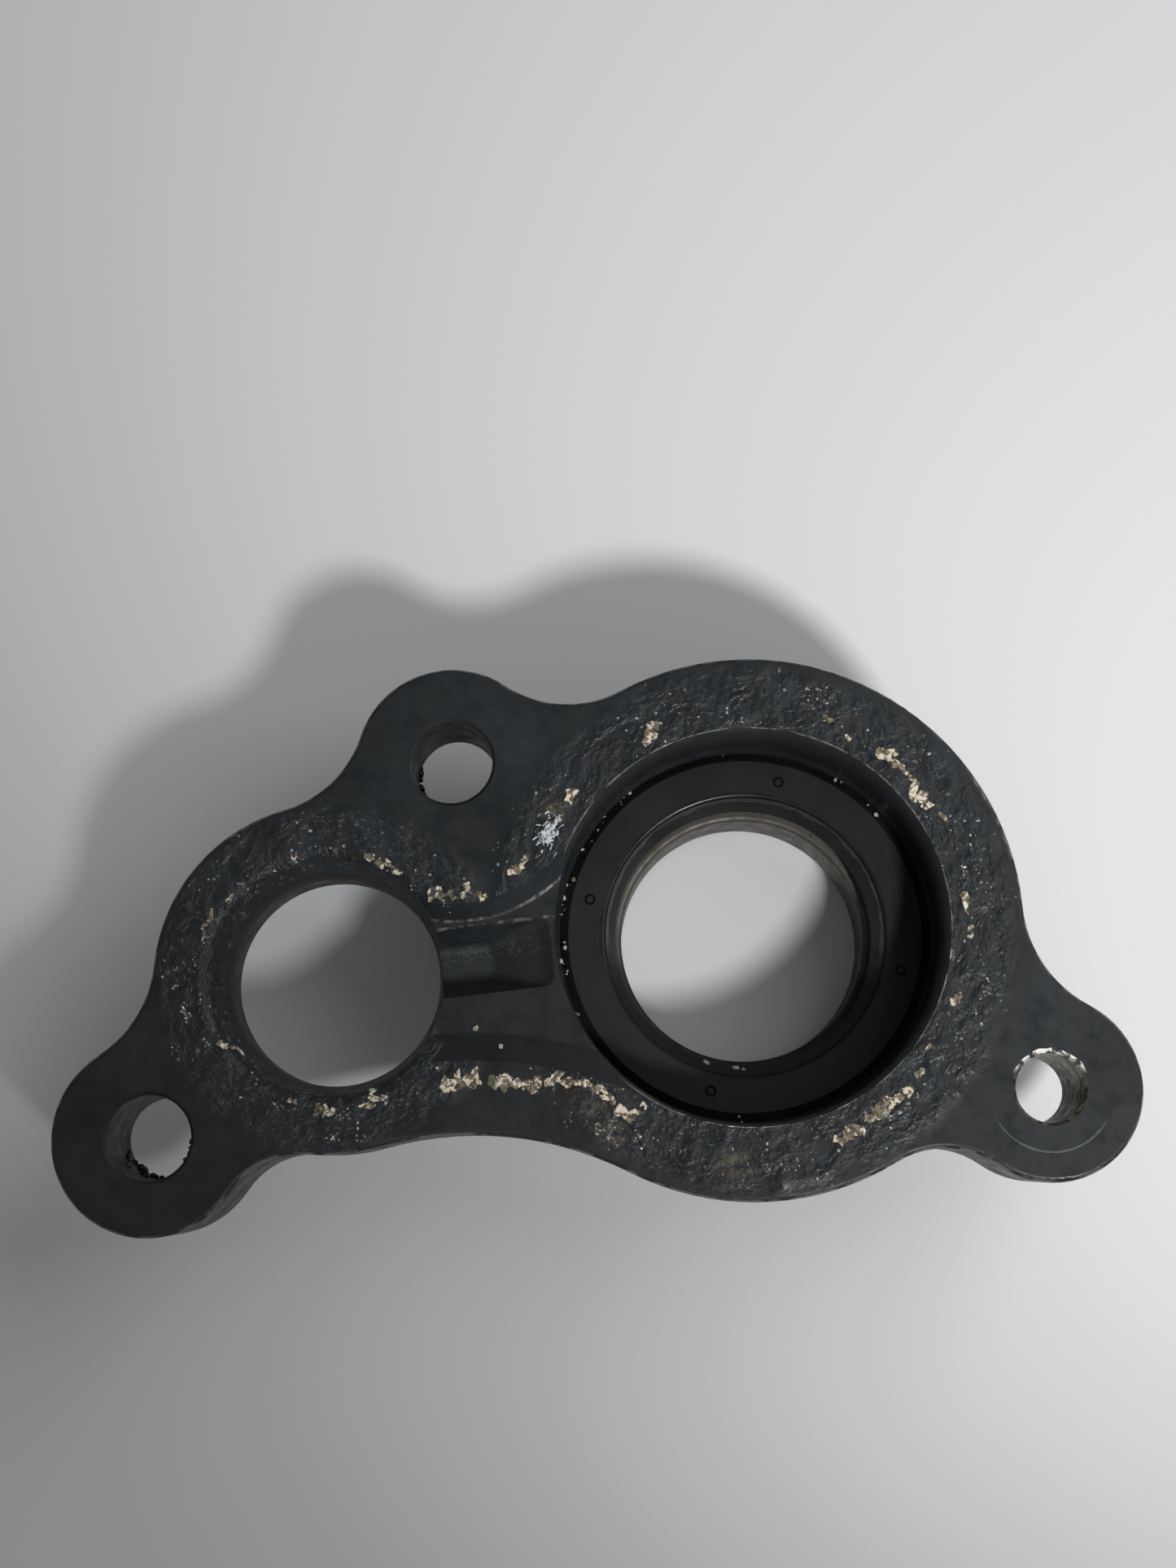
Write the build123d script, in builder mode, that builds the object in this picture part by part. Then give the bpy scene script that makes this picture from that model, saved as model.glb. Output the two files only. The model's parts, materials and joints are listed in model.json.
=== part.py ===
from build123d import *
import math
import os

# Flange-mounted bearing housing. A cast plate with three bolt ears carries a sealed ball bearing in its
# main bore and has a second, open bore beside it. +Z points out of the gasket face, which lies at Z = 0,
# and the origin is where the main bore's axis crosses that face. All sizes are in millimetres.

# ---------------------------------------------------------------- driving dimensions
# Main bore. A 42 x 60 x 7 shaft seal goes in from the front, a 40 x 62 x 12 ball bearing from the back,
# with a thin web of the casting between them. In front of the seal the bore takes a round spigot.
SEAL_D = 60.0
SEAL_W = 7.0
SEAL_DEPTH = 15.6        # gasket face to the front face of the seal
PILOT_STEP = 0.5         # how much wider, in radius, the bore is in front of the seal
PILOT_CHAMFER = 0.5
LEAD_IN_L = 1.5          # length of the cone that leads the seal into its seat
SEAL_SHAFT_D = 42.0      # shaft shoulder that the seal lip runs on
SEAL_GAP = 0.2           # between the back of the seal and the web
WEB_T = 1.4
WEB_H = 2.6              # how far the web reaches in from the bearing's seat
BEARING_D = 62.0
BEARING_W = 12.0
SHAFT_D = 40.0           # bearing journal
BEARING_SETBACK = 1.3    # back face of the bearing inside the end of the boss
SEAT_CHAMFER = 0.8
PRESS_GAP = 0.02         # modelled at the press-fitted seats

# Cast plate and boss
PLATE_T = 18.0
HUB_WALL = 11.7          # from the pilot bore to the outline of the lobe round it
BOSS_WALL = 5.5
BOSS_DRAFT = 1.5
BOSS_ROOT_R = 4.0
BOSS_CHAMFER = 1.0
TOP_EDGE_R = 0.8
BACK_EDGE_R = 1.2

# Second bore
PORT_X = -65.3
PORT_Y = -8.0
PORT_LOBE_R = 27.2
PORT_D = 33.0
PORT_LAND = 7.0          # straight stretch at the back; the rest flares towards the gasket face
PORT_FLARE = 1.6         # how much wider the flare makes it, in radius
PORT_MOUTH_R = 2.2       # rounded edge of the cast hole
PORT_BACK_CHAMFER = 0.8

# Bolt ears: two for M12 and one for M10 bolts
LEFT_EAR_X = -92.2
LEFT_EAR_Y = -32.6
TOP_EAR_X = -46.7
TOP_EAR_Y = 25.6
RIGHT_EAR_X = 45.2
RIGHT_EAR_Y = -25.1
EAR_R = 15.0
SMALL_EAR_R = 14.2
EAR_HOLE_D = 13.0
SMALL_EAR_HOLE_D = 10.5
EAR_HOLE_CHAMFER = 0.5
SPOT_D = 25.0            # bolt seats milled into the back of the ears
SMALL_SPOT_D = 22.0
SPOT_DEPTH = 0.8

# Radii of the hollow blends between neighbouring lobes, anticlockwise from the hub
BLEND_HUB_TOP_EAR = 17.5
BLEND_TOP_EAR_PORT = 17.4
BLEND_PORT_LEFT_EAR = 18.2
BLEND_LEFT_EAR_PORT = 12.5
BLEND_PORT_HUB = 54.8
BLEND_HUB_RIGHT_EAR = 14.0
BLEND_RIGHT_EAR_HUB = 18.6

# Pocket cast between the two bores: a shelf with a trough along its north side
SHELF_DEPTH = 3.0
NORTH_RIM_R = 22.4       # rim of the pocket, about the top ear's hole
NORTH_SLOPE = 2.5        # width of the sloping side, rim to shelf
SOUTH_LAND = 11.2        # gasket land between the outline and the pocket
SOUTH_SLOPE = 4.4
SHELF_CORNER_R = 0.8
TROUGH_DEPTH = 8.0       # gasket face to the trough's floor
TROUGH_TOP_W = 10.8
TROUGH_FLOOR_W = 5.0
TROUGH_CORNER_R = 2.0
TROUGH_END_WALL = 0.6    # left between the trough and the main bore at shelf level
TROUGH_END_SLOPE = 9.5
TROUGH_END_R = 2.0        # between the trough's sides and its sloping end

# Shaft seal
SEAL_CHAMFER_R = 1.4     # front outer chamfer, radial
SEAL_CHAMFER_Z = 1.2
THROAT_GAP = 1.65        # from the shaft to the inner edge of the flat front face
THROAT_EDGE_R = 0.7
LIP_SETBACK = 5.2        # front face to the lip's edge, drawn as it sits on its shaft
LIP_T = 1.3
LIP_HEAD_T = 2.5
SKIN_T = 1.0             # rubber outside the steel case
FACE_SKIN_T = 1.8        # rubber in front of the steel case
CASE_T = 0.8
CASE_SETBACK = 0.4       # back edge of the case inside the back of the rubber
CASE_INSET = 2.1         # from the throat out to the inner edge of the case
SPRING_WIRE_R = 0.7      # outside of the garter spring's coil
MARK_R = 0.9             # four round mould marks on the seal's face, each a fine ring
MARK_LINE = 0.35
MARK_INSET = 3.1         # from the throat out to the ring of marks
MARK_DEPTH = 0.3
MARK_COUNT = 4
MARK_TURN = 77.0

# Ball bearing
BALL_SHARE = 0.5773      # of the height between bore and seat, for the ball
OPENING_SHARE = 0.382    # of the same height, between the shoulders of the two rings
BALL_COUNT = 16
BALL_GAP = 0.05          # running gap between a ball and its groove
GROOVE_RATIO = 1.052     # groove radius to ball radius
RING_CORNER_R = 0.8
CAGE_T = 0.7
CAGE_POCKET_GAP = 0.12
CAGE_SIDE_GAP = 0.4      # between the cage and the ring shoulders
RIVET_R = 0.5
RIVET_HEAD_R = 0.8
RIVET_HEAD_T = 0.35
RIVET_GAP = 0.02

# For the modelling itself
CUT_PAST = 0.3           # how far a cutting profile runs past the face that it opens
NEAR = 0.01              # when edges are picked by their radius or height

# ---------------------------------------------------------------- sizes worked out from them
HUB_AT = Vector(0, 0)
PORT_AT = Vector(PORT_X, PORT_Y)
LEFT_EAR_AT = Vector(LEFT_EAR_X, LEFT_EAR_Y)
TOP_EAR_AT = Vector(TOP_EAR_X, TOP_EAR_Y)
RIGHT_EAR_AT = Vector(RIGHT_EAR_X, RIGHT_EAR_Y)
SEAL_SEAT_R = SEAL_D / 2
PILOT_R = SEAL_SEAT_R + PILOT_STEP
HUB_R = PILOT_R + HUB_WALL
PORT_R = PORT_D / 2
SEAT_R = BEARING_D / 2
SHAFT_R = SHAFT_D / 2
SEAL_FRONT_Z = -SEAL_DEPTH
SEAL_BACK_Z = SEAL_FRONT_Z - SEAL_W
WEB_Z = SEAL_BACK_Z - SEAL_GAP
BEARING_TOP_Z = WEB_Z - WEB_T
BEARING_MID_Z = BEARING_TOP_Z - BEARING_W / 2
BOSS_END_Z = BEARING_TOP_Z - BEARING_W - BEARING_SETBACK
BOSS_R = SEAT_R + BOSS_WALL
SOUTH_RIM_R = BLEND_PORT_HUB + SOUTH_LAND


# ---------------------------------------------------------------- outline of the plate
def blend_centre(first, first_r, second, second_r, blend_r):
    """Centre of the hollow arc that touches two lobes from outside, going anticlockwise."""
    span = second - first
    along = span.normalized()
    outward = Vector(along.Y, -along.X)
    a = first_r + blend_r
    b = second_r + blend_r
    reach = (span.length ** 2 + a ** 2 - b ** 2) / (2 * span.length)
    return first + along * reach + outward * math.sqrt(a ** 2 - reach ** 2)


def heading(start, end):
    """Direction from start to end in degrees, anticlockwise from +X."""
    return math.degrees(math.atan2(end.Y - start.Y, end.X - start.X))


LOBES = [
    (HUB_AT, HUB_R, BLEND_HUB_TOP_EAR),
    (TOP_EAR_AT, EAR_R, BLEND_TOP_EAR_PORT),
    (PORT_AT, PORT_LOBE_R, BLEND_PORT_LEFT_EAR),
    (LEFT_EAR_AT, EAR_R, BLEND_LEFT_EAR_PORT),
    (PORT_AT, PORT_LOBE_R, BLEND_PORT_HUB),
    (HUB_AT, HUB_R, BLEND_HUB_RIGHT_EAR),
    (RIGHT_EAR_AT, SMALL_EAR_R, BLEND_RIGHT_EAR_HUB),
]
NEXT_LOBES = LOBES[1:] + LOBES[:1]
BLENDS = [
    blend_centre(lobe[0], lobe[1], after[0], after[1], lobe[2])
    for lobe, after in zip(LOBES, NEXT_LOBES)
]
SADDLE_AT = blend_centre(PORT_AT, PORT_LOBE_R, HUB_AT, HUB_R, BLEND_PORT_HUB)

with BuildSketch() as outline:
    with BuildLine():
        for index, (centre, radius, blend_r) in enumerate(LOBES):
            here = BLENDS[index]
            start = heading(centre, BLENDS[index - 1])
            turn = (heading(centre, here) - start) % 360
            CenterArc((centre.X, centre.Y), radius, start, turn)
            hollow_start = heading(here, centre)
            after = NEXT_LOBES[index][0]
            hollow_turn = (hollow_start - heading(here, after)) % 360
            CenterArc((here.X, here.Y), blend_r, hollow_start, -hollow_turn)
    make_face()


# ---------------------------------------------------------------- cores that shape the casting
def pocket_section(level, north_r, south_r):
    """The pocket's plan at one level, between the top ear's side and the saddle's side."""
    with BuildSketch(Plane.XY.offset(level)) as section:
        with BuildLine():
            corners = [PORT_AT, SADDLE_AT, HUB_AT, TOP_EAR_AT]
            Polyline([(p.X, p.Y) for p in corners], close=True)
        make_face()
        with Locations((TOP_EAR_AT.X, TOP_EAR_AT.Y)):
            Circle(north_r, mode=Mode.SUBTRACT)
        with Locations((SADDLE_AT.X, SADDLE_AT.Y)):
            Circle(south_r, mode=Mode.SUBTRACT)
    return section.sketch


# both lofts start a little above the face that they open, with their sides carried on at the same slope
with BuildPart() as pocket_core:
    rise = CUT_PAST / SHELF_DEPTH
    add(pocket_section(CUT_PAST, NORTH_RIM_R - NORTH_SLOPE * rise, SOUTH_RIM_R - SOUTH_SLOPE * rise))
    add(pocket_section(-SHELF_DEPTH, NORTH_RIM_R + NORTH_SLOPE, SOUTH_RIM_R + SOUTH_SLOPE))
    loft()
    low_arcs = pocket_core.edges().filter_by(GeomType.CIRCLE).group_by(Axis.Z)[0]
    fillet(low_arcs, SHELF_CORNER_R)

with BuildPart() as trough_core:
    rise = CUT_PAST / (TROUGH_DEPTH - SHELF_DEPTH)
    reach = (HUB_AT - PORT_AT).length - PILOT_R - TROUGH_END_WALL
    top_w = TROUGH_TOP_W + (TROUGH_TOP_W - TROUGH_FLOOR_W) * rise
    levels = [
        (CUT_PAST - SHELF_DEPTH, top_w, reach + TROUGH_END_SLOPE * rise),
        (-TROUGH_DEPTH, TROUGH_FLOOR_W, reach - TROUGH_END_SLOPE),
    ]
    to_main_bore = Plane(origin=PORT_AT, x_dir=HUB_AT - PORT_AT, z_dir=(0, 0, 1))
    for level, width, length in levels:
        with BuildSketch(to_main_bore.offset(level)):
            Rectangle(length, width, align=(Align.MIN, Align.CENTER))
    loft()
    by_reach = trough_core.edges().sort_by(lambda edge: to_main_bore.to_local_coords(edge.center()).X)
    sloping = by_reach.filter_by(lambda edge: abs(edge.tangent_at(0.5).Z) > NEAR)
    fillet(sloping[-2:], TROUGH_END_R)
    fillet(trough_core.edges().group_by(Axis.Z)[0], TROUGH_CORNER_R)

# ---------------------------------------------------------------- flange housing
with BuildPart() as flange_housing:
    add(outline.sketch)
    extrude(amount=-PLATE_T)
    plate_edges = flange_housing.edges()
    fillet(plate_edges.group_by(Axis.Z)[-1], TOP_EDGE_R)
    fillet(plate_edges.group_by(Axis.Z)[0], BACK_EDGE_R)

    # boss on the back, drafted, with a rounded root
    with BuildSketch(Plane.XY.offset(-PLATE_T)):
        Circle(BOSS_R)
    extrude(amount=BOSS_END_Z + PLATE_T, taper=BOSS_DRAFT)
    root = flange_housing.edges().filter_by(GeomType.CIRCLE)
    root = root.filter_by(lambda edge: abs(edge.radius - BOSS_R) < NEAR)
    fillet(root.filter_by_position(Axis.Z, -PLATE_T - NEAR, -PLATE_T + NEAR), BOSS_ROOT_R)
    boss_rim = flange_housing.edges().group_by(Axis.Z)[0]
    chamfer(boss_rim, BOSS_CHAMFER)

    # main bore: pilot, lead-in and seat of the seal, web, seat of the bearing
    with BuildSketch(Plane.XZ):
        with BuildLine():
            Polyline(
                (0, CUT_PAST),
                (PILOT_R + PILOT_CHAMFER + CUT_PAST, CUT_PAST),
                (PILOT_R, -PILOT_CHAMFER),
                (PILOT_R, SEAL_FRONT_Z + LEAD_IN_L),
                (SEAL_SEAT_R, SEAL_FRONT_Z),
                (SEAL_SEAT_R, WEB_Z),
                (SEAT_R - WEB_H, WEB_Z),
                (SEAT_R - WEB_H, BEARING_TOP_Z),
                (SEAT_R, BEARING_TOP_Z),
                (SEAT_R, BOSS_END_Z + SEAT_CHAMFER),
                (SEAT_R + SEAT_CHAMFER + CUT_PAST, BOSS_END_Z - CUT_PAST),
                (0, BOSS_END_Z - CUT_PAST),
                close=True,
            )
        make_face()
    revolve(axis=Axis.Z, mode=Mode.SUBTRACT)

    # second bore: straight at the back, flared in front, with the rounded mouth of a cast hole
    mouth_r = PORT_R + PORT_FLARE
    port_plane = Plane(origin=(PORT_AT.X, PORT_AT.Y, 0), x_dir=(1, 0, 0), z_dir=(0, -1, 0))
    with BuildSketch(port_plane):
        with BuildLine():
            RadiusArc((mouth_r, -PORT_MOUTH_R), (mouth_r + PORT_MOUTH_R, 0), PORT_MOUTH_R)
            Polyline(
                (mouth_r + PORT_MOUTH_R, 0),
                (mouth_r + PORT_MOUTH_R, CUT_PAST),
                (0, CUT_PAST),
                (0, -PLATE_T - CUT_PAST),
                (PORT_R + PORT_BACK_CHAMFER + CUT_PAST, -PLATE_T - CUT_PAST),
                (PORT_R, -PLATE_T + PORT_BACK_CHAMFER),
                (PORT_R, -PLATE_T + PORT_LAND),
                (mouth_r, -PORT_MOUTH_R),
            )
        make_face()
    revolve(axis=Axis((PORT_AT.X, PORT_AT.Y, 0), (0, 0, 1)), mode=Mode.SUBTRACT)

    # pocket between the bores
    add(pocket_core.part, mode=Mode.SUBTRACT)
    add(trough_core.part, mode=Mode.SUBTRACT)

    # bolt holes, their chamfers, and the seats milled round them on the back
    ears = [
        (LEFT_EAR_AT, EAR_HOLE_D / 2, SPOT_D / 2),
        (TOP_EAR_AT, EAR_HOLE_D / 2, SPOT_D / 2),
        (RIGHT_EAR_AT, SMALL_EAR_HOLE_D / 2, SMALL_SPOT_D / 2),
    ]
    for at, hole_r, spot_r in ears:
        with BuildSketch(Plane.XY.offset(-PLATE_T)):
            with Locations((at.X, at.Y)):
                Circle(spot_r)
        extrude(amount=SPOT_DEPTH, mode=Mode.SUBTRACT)
        with Locations((at.X, at.Y, 0)):
            Hole(hole_r)
        rims = flange_housing.edges(Select.LAST).filter_by(GeomType.CIRCLE)
        chamfer(rims, EAR_HOLE_CHAMFER)

# ---------------------------------------------------------------- shaft seal
SEAL_R = SEAL_SEAT_R - PRESS_GAP
LIP_R = SEAL_SHAFT_D / 2
THROAT_R = LIP_R + THROAT_GAP
LIP_Z = SEAL_FRONT_Z - LIP_SETBACK
CASE_OUT_R = SEAL_R - SKIN_T
CASE_INNER_R = THROAT_R + CASE_INSET
CASE_TOP_Z = SEAL_FRONT_Z - FACE_SKIN_T
CASE_LOW_Z = SEAL_BACK_Z + CASE_SETBACK
SPRING_R = LIP_R + LIP_HEAD_T + SPRING_WIRE_R / 2
SPRING_Z = LIP_Z - SPRING_WIRE_R / 2

# pressed steel case, an L in section, bonded into the back of the rubber
with BuildPart() as seal_case:
    with BuildSketch(Plane.XZ):
        with BuildLine():
            Polyline(
                (CASE_INNER_R, CASE_TOP_Z),
                (CASE_OUT_R, CASE_TOP_Z),
                (CASE_OUT_R, CASE_LOW_Z),
                (CASE_OUT_R - CASE_T, CASE_LOW_Z),
                (CASE_OUT_R - CASE_T, CASE_TOP_Z - CASE_T),
                (CASE_INNER_R, CASE_TOP_Z - CASE_T),
                close=True,
            )
        make_face()
    revolve(axis=Axis.Z)

# rubber: flat face, chamfered outer corner, throat running down to the lip, garter groove behind it
with BuildPart() as seal_body:
    with BuildSketch(Plane.XZ):
        with BuildLine():
            Polyline(
                (SEAL_R - SEAL_CHAMFER_R, SEAL_FRONT_Z),
                (SEAL_R, SEAL_FRONT_Z - SEAL_CHAMFER_Z),
                (SEAL_R, SEAL_BACK_Z),
                (CASE_OUT_R - CASE_T, SEAL_BACK_Z),
                (CASE_OUT_R - CASE_T, CASE_LOW_Z),
                (CASE_OUT_R, CASE_LOW_Z),
                (CASE_OUT_R, CASE_TOP_Z),
                (CASE_INNER_R, CASE_TOP_Z),
                (CASE_INNER_R, CASE_TOP_Z - CASE_T),
                (THROAT_R + LIP_T, CASE_TOP_Z - CASE_T),
                (LIP_R + LIP_HEAD_T, LIP_Z + SPRING_WIRE_R),
                (LIP_R + LIP_HEAD_T, SEAL_BACK_Z),
                (LIP_R + LIP_T, SEAL_BACK_Z),
                (LIP_R, LIP_Z),
                (THROAT_R, SEAL_FRONT_Z),
                close=True,
            )
        make_face()
    revolve(axis=Axis.Z)
    with BuildSketch(Plane.XZ):
        with Locations((SPRING_R, SPRING_Z)):
            Circle(SPRING_WIRE_R + PRESS_GAP)
    revolve(axis=Axis.Z, mode=Mode.SUBTRACT)
    throat = seal_body.edges().filter_by(GeomType.CIRCLE)
    fillet(throat.filter_by(lambda edge: abs(edge.radius - THROAT_R) < NEAR), THROAT_EDGE_R)
    with BuildSketch(Plane.XY.offset(SEAL_FRONT_Z)):
        with PolarLocations(THROAT_R + MARK_INSET, MARK_COUNT, start_angle=MARK_TURN):
            Circle(MARK_R)
            Circle(MARK_R - MARK_LINE, mode=Mode.SUBTRACT)
    extrude(amount=-MARK_DEPTH, mode=Mode.SUBTRACT)

# garter spring round the lip, drawn as the ring that its closed coil fills
with BuildPart() as garter_spring:
    with BuildSketch(Plane.XZ):
        with Locations((SPRING_R, SPRING_Z)):
            Circle(SPRING_WIRE_R)
    revolve(axis=Axis.Z)

# ---------------------------------------------------------------- ball bearing
RING_R = SEAT_R - PRESS_GAP
RING_HEIGHT = SEAT_R - SHAFT_R
BALL_R = BALL_SHARE * RING_HEIGHT / 2
GROOVE_R = GROOVE_RATIO * BALL_R
PITCH_R = (SEAT_R + SHAFT_R) / 2
RING_OPENING = OPENING_SHARE * RING_HEIGHT
INNER_SHOULDER_R = PITCH_R - RING_OPENING / 2
OUTER_SHOULDER_R = PITCH_R + RING_OPENING / 2
GROOVE_SHIFT = GROOVE_R - BALL_R - BALL_GAP


def ring_profile(shoulder_r, seat_r, groove_at_r):
    """Half-section of a bearing ring, with rounded corners on its seat and a groove for the balls."""
    with BuildSketch(Plane.XZ) as section:
        with Locations(((shoulder_r + seat_r) / 2, BEARING_MID_Z)):
            Rectangle(abs(seat_r - shoulder_r), BEARING_W)
        corners = section.vertices().filter_by(lambda corner: abs(corner.X - seat_r) < NEAR)
        fillet(corners, RING_CORNER_R)
        with Locations((groove_at_r, BEARING_MID_Z)):
            Circle(GROOVE_R, mode=Mode.SUBTRACT)
    return section.sketch


with BuildPart() as bearing_outer_ring:
    add(ring_profile(OUTER_SHOULDER_R, RING_R, PITCH_R - GROOVE_SHIFT))
    revolve(axis=Axis.Z)

with BuildPart() as bearing_inner_ring:
    add(ring_profile(INNER_SHOULDER_R, SHAFT_R, PITCH_R + GROOVE_SHIFT))
    revolve(axis=Axis.Z)

# cage: two pressed ribbons that cup the balls and are riveted together between them
CAGE_INNER_R = INNER_SHOULDER_R + CAGE_SIDE_GAP
CAGE_OUTER_R = OUTER_SHOULDER_R - CAGE_SIDE_GAP
CUP_R = BALL_R + CAGE_POCKET_GAP + CAGE_T
BALL_STEP = 360 / BALL_COUNT


def cage_half(side):
    """One ribbon of the cage, above the balls' plane for side 1 and below it for side -1."""
    middle = Plane.XY.offset(BEARING_MID_Z)
    with BuildPart() as ribbon:
        with BuildSketch(middle):
            Circle(CAGE_OUTER_R)
            Circle(CAGE_INNER_R, mode=Mode.SUBTRACT)
        extrude(amount=side * CAGE_T)
        with Locations(middle):
            with PolarLocations(PITCH_R, BALL_COUNT):
                Sphere(CUP_R)
        with BuildSketch(middle):
            Circle(CAGE_OUTER_R)
            Circle(CAGE_INNER_R, mode=Mode.SUBTRACT)
        extrude(amount=side * BEARING_W / 2, mode=Mode.INTERSECT)
        with Locations(middle):
            with PolarLocations(PITCH_R, BALL_COUNT):
                Sphere(BALL_R + CAGE_POCKET_GAP, mode=Mode.SUBTRACT)
            with PolarLocations(PITCH_R, BALL_COUNT, start_angle=BALL_STEP / 2):
                Cylinder(RIVET_R + RIVET_GAP, BEARING_W, mode=Mode.SUBTRACT)
    return ribbon.part


with BuildPart() as cage_upper:
    add(cage_half(1))

with BuildPart() as cage_lower:
    add(cage_half(-1))

with BuildPart() as cage_rivets:
    with Locations(Plane.XY.offset(BEARING_MID_Z)):
        with PolarLocations(PITCH_R, BALL_COUNT, start_angle=BALL_STEP / 2):
            Cylinder(RIVET_R, 2 * (CAGE_T + RIVET_HEAD_T))
    for side in (1, -1):
        with Locations(Plane.XY.offset(BEARING_MID_Z + side * (CAGE_T + RIVET_HEAD_T / 2))):
            with PolarLocations(PITCH_R, BALL_COUNT, start_angle=BALL_STEP / 2):
                Cylinder(RIVET_HEAD_R, RIVET_HEAD_T)


def ball_at(number):
    """One ball of the ring, counted anticlockwise from +X."""
    angle = math.radians(number * BALL_STEP)
    with BuildPart() as ball:
        with Locations((PITCH_R * math.cos(angle), PITCH_R * math.sin(angle), BEARING_MID_Z)):
            Sphere(BALL_R)
    return ball.part


# ---------------------------------------------------------------- labels and files
PIECES = {
    "flange_housing": flange_housing.part,
    "seal_case": seal_case.part,
    "seal_body": seal_body.part,
    "garter_spring": garter_spring.part,
    "bearing_outer_ring": bearing_outer_ring.part,
    "bearing_inner_ring": bearing_inner_ring.part,
    "cage_upper": cage_upper.part,
    "cage_lower": cage_lower.part,
    "cage_rivets": cage_rivets.part,
}
for number in range(BALL_COUNT):
    PIECES[f"ball_{number + 1:02d}"] = ball_at(number)

os.makedirs("parts", exist_ok=True)
for name, piece in PIECES.items():
    piece.label = name
    export_step(piece, f"parts/{name}.step")
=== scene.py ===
# Flange mount bearing: a black cast flange with three bolt ears, a shaft seal and a ball bearing in its
# main bore, and an open side bore. The CAD parts give every shape that fits or moves; this file gives
# them their finish, and adds the gasket scraps, dried paint and grit that years on a machine have left.
import json
import math
import random

import bmesh
import bpy
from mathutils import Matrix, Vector, noise


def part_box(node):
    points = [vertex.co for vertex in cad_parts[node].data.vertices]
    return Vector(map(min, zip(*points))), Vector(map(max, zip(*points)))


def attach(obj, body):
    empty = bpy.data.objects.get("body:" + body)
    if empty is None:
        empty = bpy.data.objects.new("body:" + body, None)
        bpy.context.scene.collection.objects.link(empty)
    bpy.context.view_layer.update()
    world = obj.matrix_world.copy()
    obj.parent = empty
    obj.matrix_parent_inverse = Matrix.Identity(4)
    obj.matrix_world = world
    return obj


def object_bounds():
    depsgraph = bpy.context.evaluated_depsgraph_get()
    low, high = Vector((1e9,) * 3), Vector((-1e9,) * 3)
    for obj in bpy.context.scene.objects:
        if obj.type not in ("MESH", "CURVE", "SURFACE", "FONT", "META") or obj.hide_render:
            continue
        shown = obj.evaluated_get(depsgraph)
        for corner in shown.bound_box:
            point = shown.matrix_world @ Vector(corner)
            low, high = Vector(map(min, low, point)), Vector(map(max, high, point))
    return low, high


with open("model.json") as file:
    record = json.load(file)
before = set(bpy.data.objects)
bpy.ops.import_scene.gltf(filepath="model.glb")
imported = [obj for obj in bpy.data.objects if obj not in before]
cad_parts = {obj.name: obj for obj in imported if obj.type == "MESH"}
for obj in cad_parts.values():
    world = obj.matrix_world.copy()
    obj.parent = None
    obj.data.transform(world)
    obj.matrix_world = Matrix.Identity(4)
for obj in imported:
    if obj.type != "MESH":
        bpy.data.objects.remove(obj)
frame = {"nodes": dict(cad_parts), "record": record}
cad_box = [list(corner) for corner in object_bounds()]

# ---- Bench
# The part stands on its boss on a smooth bench top, painted pale grey and gone dull. Nothing else lies
# there, so that only the part's shadow shows on it.
bench_grey = (0.66, 0.665, 0.67, 1)
bench_rough = 0.8
bench_half = 3.0
bench_level = cad_box[0][2]


def plug(tree, node, sockets):
    # a socket is linked, and any other value is set
    for name, value in sockets.items():
        if isinstance(value, bpy.types.NodeSocket):
            tree.links.new(value, node.inputs[name])
        else:
            node.inputs[name].default_value = value


def add(tree, kind, sockets, **settings):
    node = tree.nodes.new("ShaderNode" + kind)
    for name, value in settings.items():
        setattr(node, name, value)
    plug(tree, node, sockets)
    return node.outputs


def new_finish(name, sockets):
    finish = bpy.data.materials.new(name)
    finish.use_nodes = True
    skin = finish.node_tree.nodes["Principled BSDF"]
    plug(finish.node_tree, skin, sockets)
    return finish, finish.node_tree, skin


bench_paint = new_finish("bench_paint", {"Base Color": bench_grey, "Roughness": bench_rough})[0]
bench_mesh = bpy.data.meshes.new("bench")
bench_corners = [(x * bench_half, y * bench_half, bench_level)
                 for x, y in ((-1, -1), (1, -1), (1, 1), (-1, 1))]
bench_mesh.from_pydata(bench_corners, [], [(0, 1, 2, 3)])
bench_mesh.materials.append(bench_paint)
bench = bpy.data.objects.new("bench", bench_mesh)
bpy.context.scene.collection.objects.link(bench)

# ---- Light and camera
# A bench lamp stands low on the right, turned a little past the part, and throws the shadow up to the
# left. A broad soft lamp on the far right and an even pale room fill it in. The camera hangs over the
# gasket face, 10 degrees off it.
room_colour = (0.93, 0.96, 1.0, 1)
room_fill = 0.23
key_at = Vector((0.194, -0.292, 0.451))
key_aim = Vector((0.105, 0.150, -0.0375))
key_bulb = 0.038
key_cone = math.radians(58)
key_edge = 1.0
key_watts = 13.2
side_at = Vector((0.55, 0.35, 0.60))
side_aim = Vector((0, 0, 0))
side_width = 0.8
side_watts = 3.0
camera_at = (-0.0209, -0.0351, 0.3185)
camera_lean = (math.radians(10.17), math.radians(0.77), 0)
camera_lens = 47.45
camera_sensor = 36
camera_nearest = 0.01

world = bpy.data.worlds.new("room")
world.use_nodes = True
bpy.context.scene.world = world
plug(world.node_tree, world.node_tree.nodes["Background"], {"Color": room_colour, "Strength": room_fill})


def hang_lamp(name, kind, at, aim, watts):
    lamp = bpy.data.lights.new(name, kind)
    lamp.energy = watts
    holder = bpy.data.objects.new(name, lamp)
    holder.location = at
    holder.rotation_euler = (at - aim).to_track_quat("Z", "Y").to_euler()
    bpy.context.scene.collection.objects.link(holder)
    return lamp


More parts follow.
